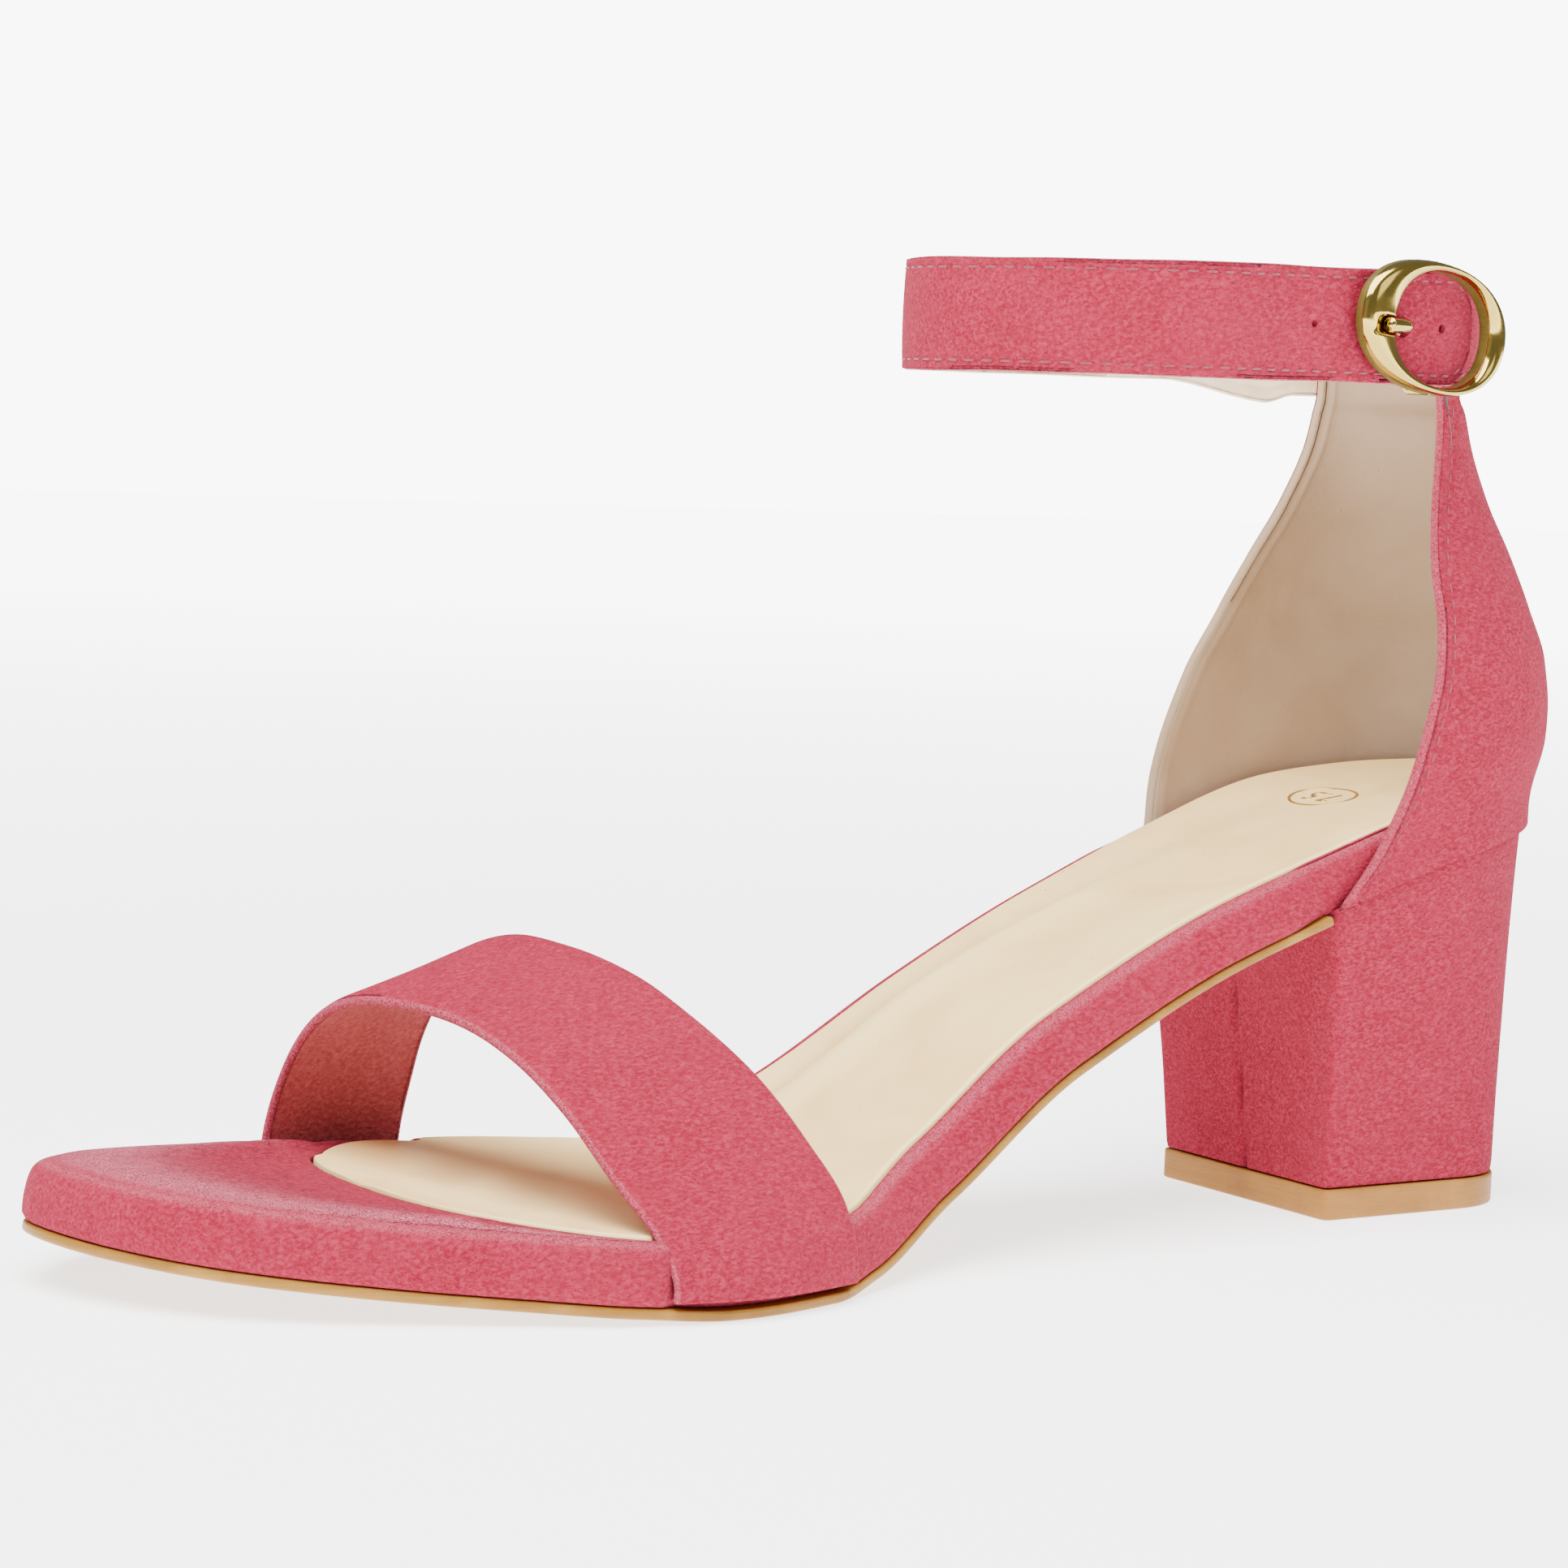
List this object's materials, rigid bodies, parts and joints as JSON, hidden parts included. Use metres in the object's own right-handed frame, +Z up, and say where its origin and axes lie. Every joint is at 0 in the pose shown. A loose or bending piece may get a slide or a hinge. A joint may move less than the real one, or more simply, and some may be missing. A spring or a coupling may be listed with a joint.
{
  "type": "block heel sandal",
  "caption": "Left women's open-toe sandal on a covered block heel, with a broad toe band, a closed heel counter and a buckled ankle strap.",
  "frame": {"origin": "on the floor, under the middle of the shoe's box", "axes": "+X to the shoe's outer (lateral) side, where the buckle is; +Y towards the heel, the toe points along -Y; +Z up"},
  "size_m": [0.0896, 0.2404, 0.1417],
  "materials": {
    "suede_coral": "napped suede, matt",
    "sock_cream": "smooth with fine pores, satin",
    "rubber_tan": "smooth, satin",
    "metal_gold": "polished light gold plating"
  },
  "bodies": {
    "root": {"outsole": "rubber_tan", "footbed": "suede_coral", "insole_sock": "sock_cream", "heel": "suede_coral", "heel_tip": "rubber_tan", "toe_band": "suede_coral", "heel_counter": "suede_coral", "ankle_strap": "suede_coral", "buckle_frame": "metal_gold", "buckle_prong": "metal_gold"}
  },
  "joints": []
}
